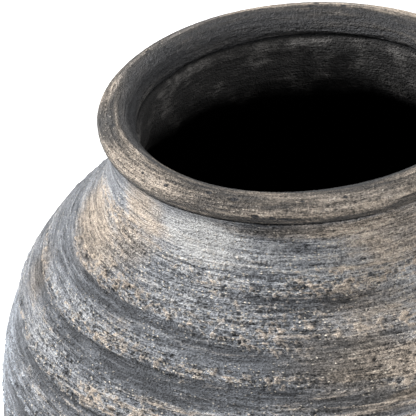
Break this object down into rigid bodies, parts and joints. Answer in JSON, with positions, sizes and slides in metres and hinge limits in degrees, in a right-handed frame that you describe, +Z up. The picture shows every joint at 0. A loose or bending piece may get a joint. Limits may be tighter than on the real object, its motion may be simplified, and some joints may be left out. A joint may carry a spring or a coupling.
{
  "type": "storage jar",
  "caption": "Wide-mouthed, round-bellied earthenware storage jar with a short neck and a thick rolled rim, built of stacked clay coils, standing on a flat base.",
  "frame": {"origin": "on the table under the middle of the base", "axes": "+Z up along the jar's axis, towards the mouth"},
  "size_m": [0.3294, 0.3294, 0.365],
  "materials": {
    "base_clay": "bare fired clay, smoked, unglazed",
    "wall_clay": "smoked grey slip worn through to tan clay, pitted and combed, unglazed",
    "neck_clay": "smoked grey slip with pale streaky wash, finely lined, unglazed",
    "rim_clay": "smoked brown-black slip rubbed to tan on the edge, unglazed"
  },
  "bodies": {
    "root": {"base_slab": "base_clay", "wall_coil_01": "wall_clay", "wall_coil_02": "wall_clay", "wall_coil_03": "wall_clay", "wall_coil_04": "wall_clay", "wall_coil_05": "wall_clay", "wall_coil_06": "wall_clay", "wall_coil_07": "wall_clay", "wall_coil_08": "wall_clay", "wall_coil_09": "wall_clay", "wall_coil_10": "wall_clay", "wall_coil_11": "wall_clay", "wall_coil_12": "wall_clay", "wall_coil_13": "wall_clay", "neck_coil": "neck_clay", "rim_coil": "rim_clay"}
  },
  "joints": []
}
